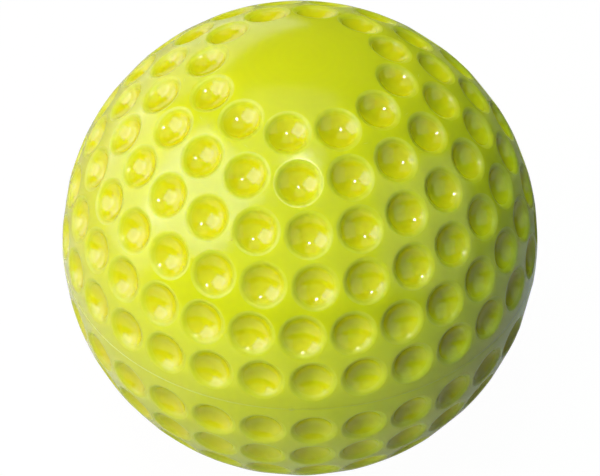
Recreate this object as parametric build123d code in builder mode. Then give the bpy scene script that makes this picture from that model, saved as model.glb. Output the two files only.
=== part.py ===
from build123d import *
import math
import os

# Pitching-machine softball in its own frame, in millimetres. The origin is the centre of the
# ball and +Z is the moulding axis: it runs from the bare cap at the bottom of the ball, through
# the parting line in the XY plane, to the bare cap at the top.

# The ball, and the layers that it is built up in
ball_diameter = 97.0
cover_thickness = 6.5
glue_line = 0.1

# The dimples, measured along the outside of the ball
dimple_pitch = 10.0
dimple_depth = 2.0
land_width = 1.2
seam_to_first_row = 6.9
bare_cap_diameter = 28.0

# The parting line, where the two halves of the cover are bonded
eased_edge = 0.25
bead_height = 0.12

# Where each row of dimples starts, as a share of the spacing in its own row, seam row first
row_start_shares = (-0.223, -0.180, -0.196, -0.337, -0.291, -0.264)

# The lower half comes out of the same mould, turned over about a level line at this angle
turn_over_angle = -50.5

# Sizes that follow from the ones above
ball_radius = ball_diameter / 2
cover_inner_radius = ball_radius - cover_thickness
core_radius = cover_inner_radius - glue_line
rim_radius = (dimple_pitch - land_width) / 2
bowl_radius = (rim_radius**2 + dimple_depth**2) / (2 * dimple_depth)
bowl_centre = math.sqrt(ball_radius**2 - rim_radius**2) - dimple_depth + bowl_radius
groove_root = (ball_radius - eased_edge, 0)
groove_lip_radius = math.sqrt(ball_radius**2 - eased_edge**2)


def dimple_rows():
    """Latitude and number of dimples of each row, from the seam up to the bare cap."""
    rows = []
    quarter_arc = ball_radius * math.pi / 2
    arc = seam_to_first_row
    while arc + rim_radius + bare_cap_diameter / 2 <= quarter_arc:
        latitude = arc / ball_radius
        around = 2 * math.pi * ball_radius * math.cos(latitude)
        rows.append((latitude, round(around / dimple_pitch)))
        arc += dimple_pitch
    return rows


def bowl_places():
    """Centre plane of the round bowl behind every dimple of one half of the cover."""
    places = []
    for row, (latitude, count) in enumerate(dimple_rows()):
        start = row_start_shares[row % len(row_start_shares)]
        for number in range(count):
            longitude = 2 * math.pi * (number + start) / count
            level = Vector(math.cos(longitude), math.sin(longitude), 0)
            outward = level * math.cos(latitude) + Vector(0, 0, math.sin(latitude))
            sideways = Vector(-math.sin(longitude), math.cos(longitude), 0)
            places.append(Plane(outward * bowl_centre, x_dir=outward, z_dir=sideways))
    return places


# Solid ball of springy foam that the cover is closed over
with BuildPart() as core:
    Sphere(core_radius)
core.part.label = "core"

# Upper half of the cover: a thick half shell with its outer edge eased for the bead, and
# dimpled in rows that run round the ball beside the parting line
with BuildPart() as upper_cover:
    with BuildSketch(Plane.XZ):
        with BuildLine():
            inner_arc = CenterArc((0, 0), cover_inner_radius, 0, 90)
            seam_face = Line(inner_arc @ 0, groove_root)
            groove_side = Line(seam_face @ 1, (groove_lip_radius, eased_edge))
            outer_arc = RadiusArc(groove_side @ 1, (0, ball_radius), -ball_radius)
            Line(outer_arc @ 1, inner_arc @ 1)
        make_face()
    revolve(axis=Axis.Z)
    with Locations(*bowl_places()):
        Sphere(bowl_radius, mode=Mode.SUBTRACT)
upper_cover.part.label = "upper_cover"

# Lower half of the cover: the same moulding turned over
turned_over = Plane(
    (0, 0, 0),
    x_dir=Vector(1, 0, 0).rotate(Axis.Z, 2 * turn_over_angle),
    z_dir=(0, 0, -1),
)
with BuildPart() as lower_cover:
    with Locations(turned_over):
        add(upper_cover.part)
lower_cover.part.label = "lower_cover"

# Ring of bonding resin squeezed out along the parting line: it fills the groove between the
# two eased edges and stands a little proud of the ball
with BuildPart() as seam_bead:
    with BuildSketch(Plane.XZ):
        with BuildLine():
            upper_side = Line(groove_root, (groove_lip_radius, eased_edge))
            lower_side = Line(groove_root, (groove_lip_radius, -eased_edge))
            ThreePointArc(upper_side @ 1, (ball_radius + bead_height, 0), lower_side @ 1)
        make_face()
    revolve(axis=Axis.Z)
seam_bead.part.label = "seam_bead"

os.makedirs("parts", exist_ok=True)
for piece in (core, upper_cover, lower_cover, seam_bead):
    export_step(piece.part, "parts/" + piece.part.label + ".step")
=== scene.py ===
# %% [markdown]
# # A dimpled practice softball
#
# The real thing is a ball for pitching machines: a springy core, closed in two glossy halves
# of a moulded cover. The halves meet along a fine parting line, and each is covered with rows
# of round dimples that leave a bare cap at its pole. The imported CAD model is loaded first. It
# is the fixed frame that everything below is fitted to, and it gives the ball its size.

# %% Load the imported model
import math
from collections import Counter

import bmesh
import bpy
from mathutils import Matrix, Vector, kdtree, noise


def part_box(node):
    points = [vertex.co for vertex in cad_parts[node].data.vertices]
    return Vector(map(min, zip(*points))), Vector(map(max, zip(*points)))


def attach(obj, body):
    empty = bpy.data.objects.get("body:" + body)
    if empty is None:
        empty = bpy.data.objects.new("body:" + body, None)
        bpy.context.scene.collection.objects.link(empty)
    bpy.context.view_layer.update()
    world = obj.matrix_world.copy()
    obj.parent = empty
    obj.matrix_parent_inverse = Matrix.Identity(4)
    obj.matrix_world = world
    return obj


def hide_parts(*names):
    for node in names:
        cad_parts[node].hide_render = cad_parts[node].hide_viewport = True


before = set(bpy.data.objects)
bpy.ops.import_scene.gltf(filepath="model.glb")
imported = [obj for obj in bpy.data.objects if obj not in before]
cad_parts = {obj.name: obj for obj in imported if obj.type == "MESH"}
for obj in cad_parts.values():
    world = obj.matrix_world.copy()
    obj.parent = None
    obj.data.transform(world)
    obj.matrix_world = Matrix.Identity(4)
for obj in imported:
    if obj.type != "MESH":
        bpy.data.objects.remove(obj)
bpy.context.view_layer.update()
ball_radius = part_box("upper_cover")[1].z
print("nodes:", sorted(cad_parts), "ball radius in mm:", round(ball_radius * 1000, 3))

# %% [markdown]
# ## The camera
#
# The camera stands twelve and a half ball radii away, 43 degrees above the level of the
# parting line. Both were found by fitting a camera to the places of the dimples in the
# photograph. The picture is turned by a little over half a degree, as it would be on a slightly
# crooked tripod. In a picture 600 pixels wide the ball is 475 wide, which gives the lens.

# %% Set up the camera
radii_away = 12.5
camera_distance = radii_away * ball_radius
camera_height_angle = math.radians(43)
camera_roll = math.radians(0.6)
picture_width, ball_width, sensor = 600, 475, 36

# The sight line that touches the ball leaves the middle of the picture by half the ball's width
sight_slope = 1 / math.sqrt(radii_away**2 - 1)
lens = (ball_width / 2 / sight_slope) * sensor / picture_width

camera_data = bpy.data.cameras.new("camera")
camera_data.lens, camera_data.sensor_width = lens, sensor
camera = bpy.data.objects.new("camera", camera_data)
bpy.context.scene.collection.objects.link(camera)
bpy.context.scene.camera = camera

towards_camera = Vector((0, -math.cos(camera_height_angle), math.sin(camera_height_angle)))
straight = towards_camera.to_track_quat("Z", "Y").to_matrix().to_4x4()
camera_turn = straight @ Matrix.Rotation(camera_roll, 4, "Z")
camera.matrix_world = Matrix.Translation(towards_camera * camera_distance) @ camera_turn
camera_data.clip_start, camera_data.clip_end = 0.01, 20
print("lens in mm:", round(lens, 2), "camera at:", [round(c, 4) for c in camera.location])

# %% [markdown]
# ## One dimple
#
# A dimple is a shallow round bowl. Its rim is not sharp: in the photograph the shade runs softly
# from the land over the rim into the bowl. The cross-section is three arcs that run into each
# other: the ball, the soft rim and the bowl. The dimples could be cut with a Boolean, but that
# leaves sharp rims and long thin faces. So the cross-section is worked out once, and one dimple
# is made by extruding a ring of edges along it to the middle.

# %% Work out the cross-section of a dimple
mm = 0.001
dimple_pitch = 10.0 * mm
dimple_depth = 2.1 * mm
rim_radius = 4.3 * mm
rim_softness = 1.05 * mm
bowl_radius = (rim_radius**2 + dimple_depth**2) / (2 * dimple_depth)
bowl_centre = math.sqrt(ball_radius**2 - rim_radius**2) - dimple_depth + bowl_radius

# The soft rim is an arc that touches the ball from inside and the bowl from outside
to_ball, to_bowl = ball_radius - rim_softness, bowl_radius + rim_softness
arc_height = (to_ball**2 - to_bowl**2 + bowl_centre**2) / (2 * bowl_centre)
arc_out = math.sqrt(to_ball**2 - arc_height**2)
land_slope = math.atan2(arc_out, arc_height)
bowl_slope = math.asin(arc_out / to_bowl)


def dimple_section(rim_steps=2, bowl_steps=3):
    """Points (distance from the axis, height) from the land, over the soft rim, to the middle."""
    points = []
    for step in range(rim_steps + 1):
        slope = land_slope - (land_slope + bowl_slope) * step / rim_steps
        across = arc_out + rim_softness * math.sin(slope)
        points.append((across, arc_height + rim_softness * math.cos(slope)))
    for step in range(1, bowl_steps + 1):
        slope = bowl_slope * (1 - step / bowl_steps)
        across = bowl_radius * math.sin(slope)
        points.append((across, bowl_centre - bowl_radius * math.cos(slope)))
    return points


section = dimple_section()
print("dimple in mm: across the soft rim", round(2000 * section[0][0], 2),
      "bowl radius", round(1000 * bowl_radius, 2))

# %% [markdown]
# ## Working in edit mode without a mouse
#
# The operators of edit mode act on what is selected. By hand one clicks on an edge; a script
# picks the edges by a test on their place. All the pieces below are turned bodies, so the same
# small step comes back again and again: extrude a ring along the axis, and change its size.

# %% Helpers for modelling in edit mode


def start_mesh(name):
    """Name the primitive that was just added, and open it in edit mode with nothing selected."""
    piece = bpy.context.object
    piece.name = piece.data.name = name
    bpy.ops.object.mode_set(mode="EDIT")
    bpy.ops.mesh.select_all(action="DESELECT")
    return piece


def select_edges(piece, wanted):
    """Select only the edges that pass the test, and say how many they are."""
    bpy.ops.mesh.select_mode(type="EDGE")
    bpy.ops.mesh.select_all(action="DESELECT")
    mesh = bmesh.from_edit_mesh(piece.data)
    for edge in mesh.edges:
        edge.select_set(wanted(edge))
    mesh.select_flush_mode()
    bmesh.update_edit_mesh(piece.data)
    return sum(edge.select for edge in mesh.edges)


def extrude_ring(start, end):
    """Extrude the selected ring round the Z axis from one point of a section to the next."""
    rise = end[1] - start[1]
    bpy.ops.mesh.extrude_region_move(TRANSFORM_OT_translate={"value": (0, 0, rise)})
    share = end[0] / start[0]
    bpy.ops.transform.resize(value=(share, share, 1), center_override=(0, 0, 0))


def only(*pieces):
    """Select just these objects, the first of them active."""
    bpy.ops.object.select_all(action="DESELECT")
    for piece in pieces:
        piece.select_set(True)
    bpy.context.view_layer.objects.active = pieces[0]


# %% Model one dimple about the Z axis
dimple_sides = 24
bpy.ops.object.select_all(action="DESELECT")
bpy.ops.mesh.primitive_circle_add(
    vertices=dimple_sides, radius=section[0][0], fill_type="NOTHING", location=(0, 0, 0)
)
dimple = start_mesh("dimple")
bpy.ops.mesh.select_all(action="SELECT")
bpy.ops.transform.translate(value=(0, 0, section[0][1]))
for start, end in zip(section[:-2], section[1:-1]):
    extrude_ring(start, end)
bpy.ops.mesh.extrude_region_move(
    TRANSFORM_OT_translate={"value": (0, 0, section[-1][1] - section[-2][1])}
)
bpy.ops.mesh.merge(type="CENTER")
bpy.ops.object.mode_set(mode="OBJECT")
print("faces in one dimple:", len(dimple.data.polygons))

# %% [markdown]
# ## Rows of dimples
#
# Each row runs round the ball like a line of latitude. A dimple is turned down from the pole
# to its row, gets a four-sided collar of land that lies on the ball, and is repeated round the
# Z axis by Spin with its duplicate option. Neighbours in a row then share their collar's sides
# point for point, so merging by distance joins them.

# %% Work out the rows from the parting line up
seam_to_first_row = 6.9 * mm
bare_cap_radius = 14.0 * mm
strip_between_rows = 0.2 * mm

# Where the first dimple of each row lies off the X axis, as a share of the row's pitch
row_start_shares = (-0.223, -0.180, -0.196, -0.337, -0.291, -0.264)

rows = []
arc = seam_to_first_row
while arc + rim_radius + bare_cap_radius <= ball_radius * math.pi / 2:
    around = 2 * math.pi * ball_radius * math.cos(arc / ball_radius)
    rows.append((arc / ball_radius, round(around / dimple_pitch)))
    arc += dimple_pitch
half_height = (dimple_pitch - strip_between_rows) / 2 / ball_radius
print("rows, in degrees and dimples:", [(round(math.degrees(a), 1), n) for a, n in rows])


# %% Lay out the rows


def on_ball(latitude, longitude, radius=ball_radius):
    level = math.cos(latitude)
    return Vector((
        radius * level * math.cos(longitude),
        radius * level * math.sin(longitude),
        radius * math.sin(latitude),
    ))


def turn(angle, axis):
    """Turn what is selected about an axis through the centre of the ball, right-handed."""
    bpy.ops.transform.rotate(value=-angle, orient_axis=axis, center_override=(0, 0, 0))


def add_collar(piece, latitude, count):
    """Extrude the rim's ring outwards to the four sides of its own patch of the ball."""
    select_edges(piece, lambda edge: edge.is_boundary)
    bpy.ops.mesh.extrude_region_move(TRANSFORM_OT_translate={"value": (0, 0, 0)})
    mesh = bmesh.from_edit_mesh(piece.data)
    for corner in (vertex for vertex in mesh.verts if vertex.select):
        down, along = corner.co.x, corner.co.y
        reach = max(abs(down), abs(along))
        corner.co = on_ball(
            latitude - half_height * down / reach, math.pi / count * along / reach
        )
        corner.co = Matrix.Rotation(latitude - math.pi / 2, 3, "Y") @ corner.co
    bmesh.update_edit_mesh(piece.data)


merge_within = 0.01 * mm
row_pieces = []
for (latitude, count), share in zip(rows, row_start_shares):
    only(dimple)
    bpy.ops.object.duplicate()
    row = start_mesh(f"row_{len(row_pieces) + 1}")
    add_collar(row, latitude, count)
    bpy.ops.mesh.select_all(action="SELECT")
    turn(math.pi / 2 - latitude, "Y")
    turn(2 * math.pi * share / count, "Z")
    bpy.ops.mesh.spin(
        steps=count - 1, angle=2 * math.pi * (count - 1) / count, dupli=True,
        center=(0, 0, 0), axis=(0, 0, 1),
    )
    bpy.ops.mesh.select_all(action="SELECT")
    bpy.ops.mesh.remove_doubles(threshold=merge_within)
    bpy.ops.object.mode_set(mode="OBJECT")
    row_pieces.append(row)
    print(row.name, "has", len(row.data.polygons), "faces")

# %% [markdown]
# ## The upper half of the cover
#
# The rows are joined into one mesh and bridged along the thin strips between them. The bare
# cap is extruded from the top row to the pole. From the lowest row the wall goes down to the
# eased edge of the parting line, in along the seam face, and up again inside as a dome, so the
# half is one closed shell with real thickness.

# %% Join and bridge the rows
tolerance = 0.02 * mm
only(*row_pieces)
bpy.ops.object.join()
upper_cover = start_mesh("upper_half")
for (low, low_count), (high, high_count) in zip(rows, rows[1:]):
    bottom = math.sin(low + half_height) * ball_radius - tolerance
    top = math.sin(high - half_height) * ball_radius + tolerance
    chosen = select_edges(
        upper_cover,
        lambda edge: edge.is_boundary and all(bottom < v.co.z < top for v in edge.verts),
    )
    bpy.ops.mesh.bridge_edge_loops()
    print("bridged", chosen, "edges between rows of", low_count, "and", high_count)

# %% Close the bare cap at the pole
cap_steps = 8
edge_latitude = rows[-1][0] + half_height
chosen = select_edges(
    upper_cover,
    lambda edge: edge.is_boundary and all(
        v.co.z > math.sin(edge_latitude) * ball_radius - tolerance for v in edge.verts
    ),
)
cap = [edge_latitude + (math.pi / 2 - edge_latitude) * s / cap_steps for s in range(cap_steps)]
cap_section = [(ball_radius * math.cos(a), ball_radius * math.sin(a)) for a in cap]
for start, end in zip(cap_section, cap_section[1:]):
    extrude_ring(start, end)
bpy.ops.mesh.extrude_region_move(
    TRANSFORM_OT_translate={"value": (0, 0, ball_radius - cap_section[-1][1])}
)
bpy.ops.mesh.merge(type="CENTER")
print("cap closed from a ring of", chosen, "edges")

# %% Wall down to the parting line, seam face and inner dome
inner_radius = 42.0 * mm
eased_edge = 0.12 * mm
eased_middle = (ball_radius - 0.03 * mm, 0.05 * mm)
wall_heights = (1.2 * mm, 0.6 * mm, eased_edge)
dome_steps = 12
sharp_over = math.radians(32)
lowest_latitude = rows[0][0] - half_height
chosen = select_edges(upper_cover, lambda edge: edge.is_boundary)
wall = [(ball_radius * math.cos(lowest_latitude), ball_radius * math.sin(lowest_latitude))]
for height in wall_heights:
    wall.append((math.sqrt(ball_radius**2 - height**2), height))
wall.append(eased_middle)
wall.append((ball_radius - eased_edge, 0))
for step in range(dome_steps):
    angle = math.pi / 2 * step / dome_steps
    wall.append((inner_radius * math.cos(angle), inner_radius * math.sin(angle)))
for start, end in zip(wall, wall[1:]):
    extrude_ring(start, end)
bpy.ops.mesh.extrude_region_move(
    TRANSFORM_OT_translate={"value": (0, 0, inner_radius - wall[-1][1])}
)
bpy.ops.mesh.merge(type="CENTER")
bpy.ops.mesh.select_all(action="SELECT")
bpy.ops.mesh.normals_make_consistent(inside=False)
bpy.ops.object.mode_set(mode="OBJECT")
bpy.ops.object.shade_smooth_by_angle(angle=sharp_over)
uses = Counter(key for face in upper_cover.data.polygons for key in face.edge_keys)
open_edges = sum(1 for faces in uses.values() if faces != 2)
print("upper half:", len(upper_cover.data.polygons), "faces, open edges:", open_edges)

# %% [markdown]
# ## The lower half of the cover
#
# In the photograph the dimples of the lower rows start where those of the upper rows do once the
# ball is turned over about a level line. So both halves are taken to be the same moulding, and
# the lower one is not modelled again: a copy of the upper one is turned over about that line.

# %% Turn a copy over
turn_over_angle = math.radians(-50.5)
only(upper_cover)
bpy.ops.object.duplicate()
lower_cover = start_mesh("lower_half")
bpy.ops.mesh.select_all(action="SELECT")
turn(math.pi, "X")
turn(2 * turn_over_angle, "Z")
bpy.ops.object.mode_set(mode="OBJECT")
bpy.data.objects.remove(dimple)
heights = [1000 * vertex.co.z for vertex in lower_cover.data.vertices]
print("lower half, lowest and highest point in mm:", round(min(heights), 2), round(max(heights), 2))

# %% [markdown]
# ## Smooth shading from few faces
#
# There are 272 dimples, so each has few faces, and plain smooth shading would make the bowls
# look creased where their faces turn most. Blender can be told the true direction of a surface
# at every corner. Here it is known exactly: it is that of the ball, the soft rim or the bowl.

# %% Give the covers their true normals
least_radius_outside = 45 * mm
least_height_outside = eased_edge + 0.05 * mm


def true_normal(point, axis):
    """Direction of the real surface at a point in or beside the dimple with this axis."""
    sideways = point - axis * point.dot(axis)
    across = sideways.length
    if across >= section[0][0]:
        return point.normalized()
    if across > bowl_radius * math.sin(bowl_slope):
        slope = math.asin(max(-1, min(1, (across - arc_out) / rim_softness)))
    else:
        slope = -math.asin(across / bowl_radius)
    return axis * math.cos(slope) + sideways.normalized() * math.sin(slope)


def shade_truly(half, axes):
    """Set the true normal at every corner outside; the rest of the shell keeps its own."""
    nearest = kdtree.KDTree(len(axes))
    for number, axis in enumerate(axes):
        nearest.insert(axis, number)
    nearest.balance()
    mesh = half.data
    outside = [
        vertex.co.length > least_radius_outside and abs(vertex.co.z) > least_height_outside
        for vertex in mesh.vertices
    ]
    normals = [Vector()] * len(mesh.loops)
    for face in mesh.polygons:
        if all(outside[number] for number in face.vertices):
            for corner in face.loop_indices:
                point = mesh.vertices[mesh.loops[corner].vertex_index].co
                normals[corner] = true_normal(point, nearest.find(point.normalized())[0])
    mesh.normals_split_custom_set(normals)
    return sum(normal.length > 0 for normal in normals)


axes = [
    on_ball(latitude, 2 * math.pi * (number + share) / count, 1)
    for (latitude, count), share in zip(rows, row_start_shares) for number in range(count)
]
turned_over = Matrix.Rotation(2 * turn_over_angle, 3, "Z") @ Matrix.Rotation(math.pi, 3, "X")
print("corners shaded truly:", shade_truly(upper_cover, axes),
      shade_truly(lower_cover, [turned_over @ axis for axis in axes]))

# %% [markdown]
# ## The bead along the parting line
#
# In the photograph the parting line is thin, broken and pale on the left, nearly gone in the
# middle, where it has one tiny bright nub, and faint and darker on the right. It is read as
# resin that was squeezed out where the halves are bonded. Its height is far less than a pixel,
# so it is not measured: it stands a few hundredths of a millimetre proud on the left and sinks
# a little on the right because that looked nearest. A torus would be the same all round, so a
# small circle is spun into a ring, and the ring's height is then varied point by point.

# %% Model the bead
bead_points = 900
bead_sides = 10
bead_radius = 0.24 * mm
bead_middle = ball_radius - 0.17 * mm
bpy.ops.object.select_all(action="DESELECT")
bpy.ops.mesh.primitive_circle_add(
    vertices=bead_sides, radius=bead_radius, fill_type="NOTHING",
    location=(bead_middle, 0, 0), rotation=(math.pi / 2, 0, 0),
)
bpy.ops.object.transform_apply(location=True, rotation=True, scale=True)
bead = start_mesh("bead")
bpy.ops.mesh.select_all(action="SELECT")
bpy.ops.mesh.spin(steps=bead_points, angle=2 * math.pi, center=(0, 0, 0), axis=(0, 0, 1))
bpy.ops.mesh.select_all(action="SELECT")
bpy.ops.mesh.remove_doubles(threshold=0.001 * mm)

# %% Vary its height, and add the nub
lean, sink = 0.05 * mm, 0.045 * mm
wave_height, nub_height = 0.02 * mm, 0.08 * mm
nub_at = math.radians(-91.6)
nub_reach = 0.45 * mm / ball_radius
waves_around = 60
mesh = bmesh.from_edit_mesh(bead.data)
for vertex in mesh.verts:
    level = vertex.co.xy.length
    angle = math.atan2(vertex.co.y, vertex.co.x)
    place = Vector((math.cos(angle), math.sin(angle), 0)) * waves_around
    wave = noise.noise(place * 0.5) * 0.6 + noise.noise(place * 1.7) * 0.4
    nub = math.exp(-(((angle - nub_at) / nub_reach) ** 2))
    proud = -lean * math.cos(angle) - sink + wave_height * wave + nub_height * nub
    outside = max(0.0, (level - bead_middle) / bead_radius)
    vertex.co.xy *= (level + proud * outside) / level
    vertex.co.z *= 1 + 0.9 * nub + 0.25 * wave
bmesh.update_edit_mesh(bead.data)
bpy.ops.mesh.normals_make_consistent(inside=False)
bpy.ops.object.mode_set(mode="OBJECT")
bpy.ops.object.shade_smooth()
print("bead stands proud by at most, in mm:",
      round(1000 * (max(v.co.xy.length for v in bead.data.vertices) - ball_radius), 3))

# %% [markdown]
# ## Finishes
#
# Every finish is made of nodes on Object coordinates. These are in metres, so a grain keeps
# its real size, and it moves with its piece. A few small helpers come first, because all the
# finishes use them: blotches of noise, a ramp of colours, and a mix of two colours.

# %% Helpers for finishes


def new_material(name):
    material = bpy.data.materials.new(name)
    material.use_nodes = True
    nodes, links = material.node_tree.nodes, material.node_tree.links
    shader = next(node for node in nodes if node.type == "BSDF_PRINCIPLED")
    where = nodes.new("ShaderNodeTexCoord").outputs["Object"]
    return material, nodes, links, shader, where


def noise_node(nodes, links, where, scale, detail=3.0):
    grain = nodes.new("ShaderNodeTexNoise")
    grain.inputs["Scale"].default_value = scale
    grain.inputs["Detail"].default_value = detail
    links.new(where, grain.inputs["Vector"])
    return grain.outputs["Fac"]


def ramp_node(nodes, links, value, *stops):
    ramp = nodes.new("ShaderNodeValToRGB")
    elements = ramp.color_ramp.elements
    while len(elements) < len(stops):
        elements.new(0.5)
    for element, (place, colour) in zip(elements, stops):
        element.position = place
        element.color = (*colour, 1)
    links.new(value, ramp.inputs["Fac"])
    return ramp.outputs["Color"]


def mix_node(nodes, links, how, share, first, second):
    """Mix two colours; the share is a number or a socket, the second a colour or a socket."""
    mix = nodes.new("ShaderNodeMix")
    mix.data_type, mix.blend_type = "RGBA", how
    if isinstance(share, float):
        mix.inputs["Factor"].default_value = share
    else:
        links.new(share, mix.inputs["Factor"])
    links.new(first, mix.inputs[6])
    if isinstance(second, tuple):
        mix.inputs[7].default_value = (*second, 1)
    else:
        links.new(second, mix.inputs[7])
    return mix.outputs[2]


def bump_node(nodes, links, shader, height, strength, distance):
    bump = nodes.new("ShaderNodeBump")
    bump.inputs["Strength"].default_value = strength
    bump.inputs["Distance"].default_value = distance
    links.new(height, bump.inputs["Height"])
    links.new(bump.outputs["Normal"], shader.inputs["Normal"])


# %% [markdown]
# ## The skin of the cover
#
# The cover is a glossy optic yellow plastic. In the photograph its bowls are a deeper yellow
# than the lands. Here the bowls are painted a deeper and lighter yellow than the lands, as
# painted bounce light that also lifts their shade.
# The rims are less glossy than the rest, because glossy ones mirrored sharp rings that the
# photograph does not show. Bowls and rims could be masked by painting, but both follow the depth
# of the surface. So a ramp over the distance from the centre of the ball does for all 272
# dimples at once. The photograph has a few tiny dark specks too. Here they are the middles of
# some Voronoi cells, so they are not in the same places.

# %% Ramp over the depth of a dimple


def depth_ramp(nodes, links, where, *stops):
    """A ramp over depth: 0 at the bottom of a bowl, 1 on the ball itself."""
    distance = nodes.new("ShaderNodeVectorMath")
    distance.operation = "LENGTH"
    links.new(where, distance.inputs[0])
    level = nodes.new("ShaderNodeMapRange")
    level.inputs["From Min"].default_value = ball_radius - dimple_depth
    level.inputs["From Max"].default_value = ball_radius
    links.new(distance.outputs["Value"], level.inputs["Value"])
    return ramp_node(nodes, links, level.outputs["Result"], *stops)


# %% Tiny dark specks


def sparse_specks(nodes, links, where, spacing, reach, kept):
    """1 inside small round specks, in a share of the cells, 0 elsewhere."""
    cells = nodes.new("ShaderNodeTexVoronoi")
    cells.inputs["Scale"].default_value = 1 / spacing
    links.new(where, cells.inputs["Vector"])
    inside = nodes.new("ShaderNodeMath")
    inside.operation = "LESS_THAN"
    inside.inputs[1].default_value = reach / spacing
    links.new(cells.outputs["Distance"], inside.inputs[0])
    lot = nodes.new("ShaderNodeSeparateColor")
    links.new(cells.outputs["Color"], lot.inputs["Color"])
    chosen = nodes.new("ShaderNodeMath")
    chosen.operation = "LESS_THAN"
    chosen.inputs[1].default_value = kept
    links.new(lot.outputs["Red"], chosen.inputs[0])
    both = nodes.new("ShaderNodeMath")
    both.operation = "MULTIPLY"
    links.new(inside.outputs["Value"], both.inputs[0])
    links.new(chosen.outputs["Value"], both.inputs[1])
    return both.outputs["Value"]


# %% [markdown]
# ## The glow in the cover
#
# The shade in the bowls of the photograph is soft, as in a plastic that light goes a little way
# into before it comes out again. Subsurface scattering does the same, and its reach was chosen
# by trial. It would also lose light through the hidden face of the seam, and that shows as a
# dark line. So the reach is a ramp over the height above the seam: nearly nothing at the seam
# itself, and in full from 5 mm away.

# %% Subsurface reach that shortens at the seam
full_reach, seam_reach, fades_over = 5 * mm, 0.1 * mm, 5 * mm


def glow_in_skin(nodes, links, shader, where):
    shader.inputs["Subsurface Weight"].default_value = 1.0
    shader.inputs["Subsurface Radius"].default_value = (0.9, 0.9, 0.25)
    height = nodes.new("ShaderNodeSeparateXYZ")
    links.new(where, height.inputs["Vector"])
    from_seam = nodes.new("ShaderNodeMath")
    from_seam.operation = "ABSOLUTE"
    links.new(height.outputs["Z"], from_seam.inputs[0])
    reach = nodes.new("ShaderNodeMapRange")
    reach.inputs["From Max"].default_value = fades_over
    reach.inputs["To Min"].default_value = seam_reach
    reach.inputs["To Max"].default_value = full_reach
    links.new(from_seam.outputs["Value"], reach.inputs["Value"])
    links.new(reach.outputs["Result"], shader.inputs["Subsurface Scale"])


# %% Glossy moulded cover
# The bowls' yellow is lighter and deeper than the land's: painted bounce light in the bowls.
bowl_yellow_painted_bounce, rim_yellow, land_yellow = (
    (0.785, 0.70, 0.006), (0.68, 0.655, 0.020), (0.72, 0.69, 0.012)
)
bowl_roughness, rim_roughness, land_roughness = (0.11,) * 3, (0.42,) * 3, (0.14,) * 3
speck_brown = (0.52, 0.42, 0.01)
speck_spacing, speck_radius, share_with_speck = 7 * mm, 0.17 * mm, 0.3


def glossy_cover():
    material, nodes, links, shader, where = new_material("glossy_cover")
    # Colour by depth; the lighter yellow of the bowls is painted bounce light.
    skin = depth_ramp(
        nodes, links, where, (0.45, bowl_yellow_painted_bounce), (0.84, rim_yellow), (0.98, rim_yellow),
        (1.0, land_yellow),
    )
    mottle = noise_node(nodes, links, where, 60)
    mottle = ramp_node(nodes, links, mottle, (0.35, (0.96, 0.97, 0.8)), (0.65, (1, 1, 1)))
    colour = mix_node(nodes, links, "MULTIPLY", 1.0, skin, mottle)
    specks = sparse_specks(
        nodes, links, where, speck_spacing, speck_radius, share_with_speck
    )
    colour = mix_node(nodes, links, "MIX", specks, colour, speck_brown)
    links.new(colour, shader.inputs["Base Color"])
    roughness = depth_ramp(
        nodes, links, where, (0.50, bowl_roughness), (0.82, rim_roughness), (0.97, rim_roughness),
        (1.0, land_roughness),
    )
    links.new(roughness, shader.inputs["Roughness"])
    shader.inputs["IOR"].default_value = 1.5
    glow_in_skin(nodes, links, shader, where)
    fine = noise_node(nodes, links, where, 900, 4)
    bump_node(nodes, links, shader, fine, 0.02, 0.2 * mm)
    return material


cover_finish = glossy_cover()
for half in (upper_cover, lower_cover):
    half.data.materials.clear()
    half.data.materials.append(cover_finish)
print("cover finish:", len(cover_finish.node_tree.nodes), "nodes")

# %% [markdown]
# ## Bead resin
#
# The parting line is paler on the left of the photograph than further right. The light comes
# from the left, so that paleness is a highlight along the raised bead. Here the highlight is
# painted: the colour of the resin is simply a ramp across the ball, pale on the left and the
# yellow of the cover further right, with fine blotches over it.

# %% Satin bead resin
# Painted highlight: the resin is pale on the left, where the light falls, and yellow further right.
resin_with_painted_glint, resin_away_from_light = (0.84, 0.83, 0.24), (0.68, 0.66, 0.03)
glint_fades_over = 30 * mm


def bead_resin():
    material, nodes, links, shader, where = new_material("bead_resin")
    place = nodes.new("ShaderNodeSeparateXYZ")
    links.new(where, place.inputs["Vector"])
    across = nodes.new("ShaderNodeMapRange")
    across.inputs["From Min"].default_value = -glint_fades_over
    across.inputs["From Max"].default_value = 0
    links.new(place.outputs["X"], across.inputs["Value"])
    # Painted highlight along the bead, fading from left to right across the ball.
    painted_glint_ramp = ramp_node(
        nodes, links, across.outputs["Result"], (0, resin_with_painted_glint), (1, resin_away_from_light)
    )
    mottle = noise_node(nodes, links, where, 400)
    mottle = ramp_node(nodes, links, mottle, (0.3, (0.88, 0.88, 0.6)), (0.7, (1, 1, 1)))
    links.new(
        mix_node(nodes, links, "MULTIPLY", 1.0, painted_glint_ramp, mottle), shader.inputs["Base Color"]
    )
    shader.inputs["Roughness"].default_value = 0.3
    return material


bead.data.materials.clear()
bead.data.materials.append(bead_resin())
print("bead finish:", bead.data.materials[0].name)

# %% [markdown]
# ## Core foam
#
# The photograph does not show the core. It is taken to be a plain ball of closed-cell foam, and
# the CAD solid already has that shape, so it stays and only gets a finish. Round cells about a
# millimetre across come from a Voronoi pattern, which paints shade into the hollows and, as
# bump, makes them look pitted.

# %% Closed-cell foam
cells_per_metre = 900


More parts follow.
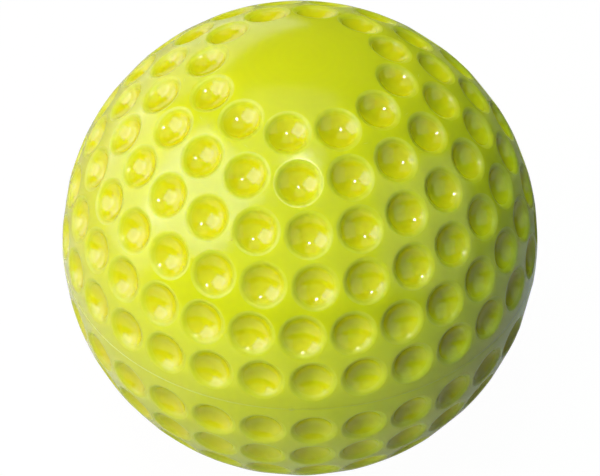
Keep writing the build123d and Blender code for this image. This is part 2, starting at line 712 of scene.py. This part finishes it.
def core_foam():
    material, nodes, links, shader, where = new_material("core_foam")
    cells = nodes.new("ShaderNodeTexVoronoi")
    cells.inputs["Scale"].default_value = cells_per_metre
    links.new(where, cells.inputs["Vector"])
    # Painted shade: darker in the middle of each cell, where it is pitted.
    colour = ramp_node(
        nodes, links, cells.outputs["Distance"],
        (0.0, (0.52, 0.45, 0.27)), (0.6, (0.68, 0.60, 0.38)),
    )
    links.new(colour, shader.inputs["Base Color"])
    shader.inputs["Roughness"].default_value = 0.9
    bump_node(nodes, links, shader, cells.outputs["Distance"], 0.4, 0.3 * mm)
    return material


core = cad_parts["core"]
core.data.materials.clear()
core.data.materials.append(core_foam())
print("core finish:", core.data.materials[0].name)

# %% [markdown]
# ## Fastening the pieces to the frame
#
# Each new piece is fastened to the body it moves with, and the CAD node it stands for is hidden.
# A ball has no joint, so all of it rides on the one body.

# %% Fasten the pieces
for piece, node, slot in (
    (upper_cover, "upper_cover", "cover"),
    (lower_cover, "lower_cover", "cover"),
    (bead, "seam_bead", "bead"),
):
    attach(piece, "root")
    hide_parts(node)
    print(piece.name, "stands for", node)

# %% [markdown]
# ## Floor
#
# The ball lies on a plain pale floor. The background of the photograph is pure white, but a
# floor that is lit until it is white would whiten the ball as well. So most of what the camera
# sees of the floor is white of its own, and a small share of the lit floor is left in it, which
# keeps the soft shadow of the ball.

# %% Pale floor
floor_grey = (0.33, 0.33, 0.33, 1)
own_white, own_share = 1.055, 0.93
bpy.ops.object.select_all(action="DESELECT")
bpy.ops.mesh.primitive_plane_add(size=6, location=(0, 0, -ball_radius))
floor = bpy.context.object
floor.name = "floor"


def pale_floor():
    material = bpy.data.materials.new("pale_floor")
    material.use_nodes = True
    nodes, links = material.node_tree.nodes, material.node_tree.links
    shader = next(node for node in nodes if node.type == "BSDF_PRINCIPLED")
    shader.inputs["Base Color"].default_value = floor_grey
    shader.inputs["Roughness"].default_value = 0.8
    white = nodes.new("ShaderNodeEmission")
    white.inputs["Strength"].default_value = own_white
    seen = nodes.new("ShaderNodeLightPath")
    share = nodes.new("ShaderNodeMath")
    share.operation = "MULTIPLY"
    share.inputs[1].default_value = own_share
    links.new(seen.outputs["Is Camera Ray"], share.inputs[0])
    mix = nodes.new("ShaderNodeMixShader")
    links.new(share.outputs["Value"], mix.inputs["Fac"])
    links.new(shader.outputs["BSDF"], mix.inputs[1])
    links.new(white.outputs["Emission"], mix.inputs[2])
    output = next(node for node in nodes if node.type == "OUTPUT_MATERIAL")
    links.new(mix.outputs["Shader"], output.inputs["Surface"])
    return material


floor.data.materials.append(pale_floor())
print("floor at, in mm:", round(1000 * floor.location.z, 2))

# %% [markdown]
# ## Room
#
# Beyond the floor is a white backdrop, which only the camera sees. To everything else the world
# is a very dim room, because the bowls of the photograph do not mirror white all round. The
# gloss mirrors it a little more strongly than the colour is lit by it. Both strengths were
# chosen by trial, as the ones that came nearest to the photograph.

# %% White backdrop and dim room
room_tint = (0.8, 1.0, 0.9, 1)
room_light, room_in_gloss = 0.01, 0.05


def dim_room():
    world = bpy.data.worlds.new("studio")
    world.use_nodes = True
    nodes, links = world.node_tree.nodes, world.node_tree.links
    backdrop = next(node for node in nodes if node.type == "BACKGROUND")
    backdrop.inputs["Color"].default_value = (1, 1, 1, 1)
    backdrop.inputs["Strength"].default_value = 1
    room = nodes.new("ShaderNodeBackground")
    room.inputs["Color"].default_value = room_tint
    seen = nodes.new("ShaderNodeLightPath")
    level = nodes.new("ShaderNodeMapRange")
    level.inputs["To Min"].default_value = room_light
    level.inputs["To Max"].default_value = room_in_gloss
    links.new(seen.outputs["Is Glossy Ray"], level.inputs["Value"])
    links.new(level.outputs["Result"], room.inputs["Strength"])
    mix = nodes.new("ShaderNodeMixShader")
    links.new(seen.outputs["Is Camera Ray"], mix.inputs["Fac"])
    links.new(room.outputs["Background"], mix.inputs[1])
    links.new(backdrop.outputs["Background"], mix.inputs[2])
    output = next(node for node in nodes if node.type == "OUTPUT_WORLD")
    links.new(mix.outputs["Shader"], output.inputs["Surface"])
    return world


bpy.context.scene.world = dim_room()
bpy.context.scene.view_settings.view_transform = "Standard"
print("world:", bpy.context.scene.world.name)

# %% [markdown]
# ## Light
#
# The bowls mirror the whole studio. Their highlights were read as a square softbox on the left,
# one small flash above the camera, and dim walls. Area lamps stand in for them. None of the sets
# that were tried gave both the mirror images and the shade. So one set only lights the colour
# and another is only mirrored in the gloss, which no real lamp does. The first is warm on the
# left and a little green from the middle on, as the cover looks in the photograph. Strengths
# and tints were chosen by trial. Each lamp's direction is given in degrees across and up as the
# camera sees them, as it would be read off a picture of a ball.

# %% Helpers for lamps


def aim(across_degrees, up_degrees):
    """Direction by degrees across (right is plus) and up, as seen along the camera's axes."""
    across, up = math.radians(across_degrees), math.radians(up_degrees)
    direction = Vector(
        (math.sin(across) * math.cos(up), math.sin(up), math.cos(across) * math.cos(up))
    )
    return camera_turn.to_3x3() @ direction


def add_lamp(name, direction, distance, width, height, radiance, colour=(1, 1, 1), turned=0,
             round_lamp=False, lights=True, mirrored=True):
    """A lamp that faces the ball, upright as the camera sees it, then turned in degrees."""
    data = bpy.data.lights.new(name, "AREA")
    data.shape = "ELLIPSE" if round_lamp else "RECTANGLE"
    data.size, data.size_y = width, height
    area = width * height * (math.pi / 4 if round_lamp else 1)
    data.energy = radiance * math.pi * area
    data.color = colour
    lamp = bpy.data.objects.new(name, data)
    bpy.context.scene.collection.objects.link(lamp)
    lamp.visible_camera = False
    lamp.visible_diffuse, lamp.visible_glossy = lights, mirrored
    sideways = (camera_turn.to_3x3() @ Vector((0, 1, 0))).cross(direction).normalized()
    facing = Matrix((sideways, direction.cross(sideways), direction)).transposed().to_4x4()
    facing = facing @ Matrix.Rotation(math.radians(turned), 4, "Z")
    lamp.matrix_world = Matrix.Translation(direction * distance) @ facing
    return lamp


# %% Lamps that light the colour
key_distance = 0.60
for name, across, up, width, height, radiance, colour in (
    ("left_key", -64, 10, 0.30, 0.30, 1.0, (1, 0.8, 0.5)),
    ("warm_key", -38, 22, 0.25, 0.25, 6.2, (1, 0.52, 0.5)),
    ("cool_key", -8, 27, 0.25, 0.25, 11.2, (0.65, 1, 0.8)),
    ("low_fill", -46, -27, 0.40, 0.25, 6.4, (0.74, 1, 0.8)),
    ("top_fill", -15, 72, 0.50, 0.50, 0.9, (0.78, 1, 0.8)),
    ("back_fill", 180, 62, 0.50, 0.40, 1.8, (0.95, 1, 0.8)),
):
    add_lamp(
        name, aim(across, up), key_distance, width, height, radiance, colour, mirrored=False
    )
    print(name, "lights from", across, "degrees across and", up, "up")

# %% Softbox and flash, mirrored in the gloss
add_lamp("softbox", aim(-50, 18), 1.20, 1.08, 1.02, 4.5, (0.38, 0.38, 1), turned=-28, lights=False)
add_lamp("flash", aim(0, 32), 1.50, 0.18, 0.18, 78, round_lamp=True, lights=False)

# %% Walls of the room, mirrored in the gloss
for name, across, up, distance, width, height, radiance, colour in (
    ("left_wall", -90, 15, 0.50, 0.45, 0.50, 2.3, (0.62, 0.66, 1)),
    ("back_wall", -135, 45, 0.50, 0.45, 0.45, 1.2, (0.7, 0.75, 1)),
    ("top_strip", -10, 55, 0.60, 0.40, 0.40, 0.8, (0.6, 0.6, 1)),
    ("front_wall", 0, 0, 0.60, 0.70, 0.60, 0.4, (0.7, 0.7, 1)),
    ("right_wall", 62, 5, 0.60, 0.60, 0.60, 0.8, (0.7, 0.7, 1)),
):
    add_lamp(name, aim(across, up), distance, width, height, radiance, colour, lights=False)
    print(name, "is mirrored from", across, "degrees across and", up, "up")

# %% [markdown]
# The lower bowls of the photograph mirror something pale below the ball. What it was is not
# known. Two lamps that face upwards, just clear of the floor, stand in for it, as pale cards on
# a table would. Like all the lamps, the camera can't see them.

# %% Stand-ins for something pale below the ball
card_height = -ball_radius + 1.5 * mm
for name, x, y, width, depth, radiance in (
    ("left_card", -0.35, 0.15, 0.60, 1.10, 0.25),
    ("front_card", 0.10, -0.35, 0.90, 0.80, 0.3),
):
    card = add_lamp(
        name, Vector((0, 0, -1)), 1, width, depth, radiance, (0.8, 0.8, 1), lights=False
    )
    facing_up = Matrix.Rotation(math.pi, 4, "X")
    card.matrix_world = Matrix.Translation((x, y, card_height)) @ facing_up
    print(name, "at, in mm:", [round(1000 * c) for c in card.matrix_world.translation])

# %% [markdown]
# ## Finish

# %% Finish
bpy.context.view_layer.update()
